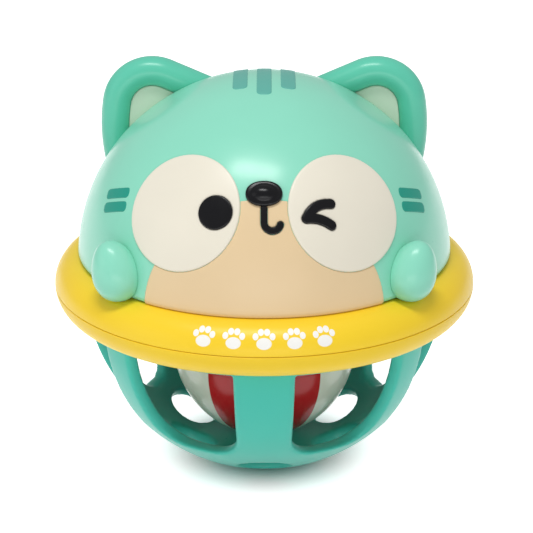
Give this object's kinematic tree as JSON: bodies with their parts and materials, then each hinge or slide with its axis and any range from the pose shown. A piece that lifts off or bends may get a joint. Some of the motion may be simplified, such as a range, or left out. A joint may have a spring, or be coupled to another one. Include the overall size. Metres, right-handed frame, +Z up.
{
  "type": "rattle ball",
  "caption": "Baby rattle ball: a cat head in a swim ring on a ribbed cage, with a striped ball that turns on an upright spindle inside.",
  "frame": {"origin": "middle of the flat foot under the cage", "axes": "+Z up along the spindle, -Y towards the side the face looks to, +X to the right as the face is seen"},
  "size_m": [0.116, 0.116, 0.1118],
  "materials": {
    "mint_plastic": "satin gloss",
    "teal_plastic": "satin gloss",
    "yellow_plastic": "satin gloss",
    "cream_plastic": "satin",
    "peach_plastic": "satin",
    "black_plastic": "gloss",
    "stripe_plastic": "satin",
    "cheek_plastic": "satin",
    "ear_panel_plastic": "matte",
    "ball_plastic": "gloss",
    "steel": "satin",
    "natural_plastic": "matte",
    "rubber": "matte"
  },
  "bodies": {
    "toy": {"cage": "teal_plastic", "foot_cap": "rubber", "spindle": "steel", "case_screw_1": "steel", "case_screw_2": "steel", "case_screw_3": "steel", "case_screw_4": "steel", "lower_washer": "natural_plastic", "upper_washer": "natural_plastic", "deck_plate": "natural_plastic", "ring_upper": "yellow_plastic", "ring_lower": "yellow_plastic", "head_shell": "mint_plastic", "ear_left": "mint_plastic", "ear_right": "mint_plastic", "paw_left": "mint_plastic", "paw_right": "mint_plastic", "ear_panel_left": "ear_panel_plastic", "ear_panel_right": "ear_panel_plastic", "eye_pad_left": "cream_plastic", "eye_pad_right": "cream_plastic", "pupil": "black_plastic", "wink_mark": "black_plastic", "nose": "black_plastic", "mouth": "black_plastic", "muzzle": "peach_plastic", "forehead_stripe_left": "stripe_plastic", "forehead_stripe_middle": "stripe_plastic", "forehead_stripe_right": "stripe_plastic", "cheek_bar_upper_left": "cheek_plastic", "cheek_bar_upper_right": "cheek_plastic", "cheek_bar_lower_left": "cheek_plastic", "cheek_bar_lower_right": "cheek_plastic"},
    "ball": {"ball_upper": "ball_plastic", "ball_lower": "ball_plastic", "ball_sleeve": "natural_plastic", "bead_1": "steel", "bead_2": "steel", "bead_3": "steel", "bead_4": "steel", "bead_5": "steel", "bead_6": "steel"}
  },
  "joints": [
    {"name": "ball_spin", "type": "hinge", "parent": "toy", "child": "ball", "pos_m": [0, 0, 0.032], "axis": [0, 0, 1], "continuous": true}
  ]
}
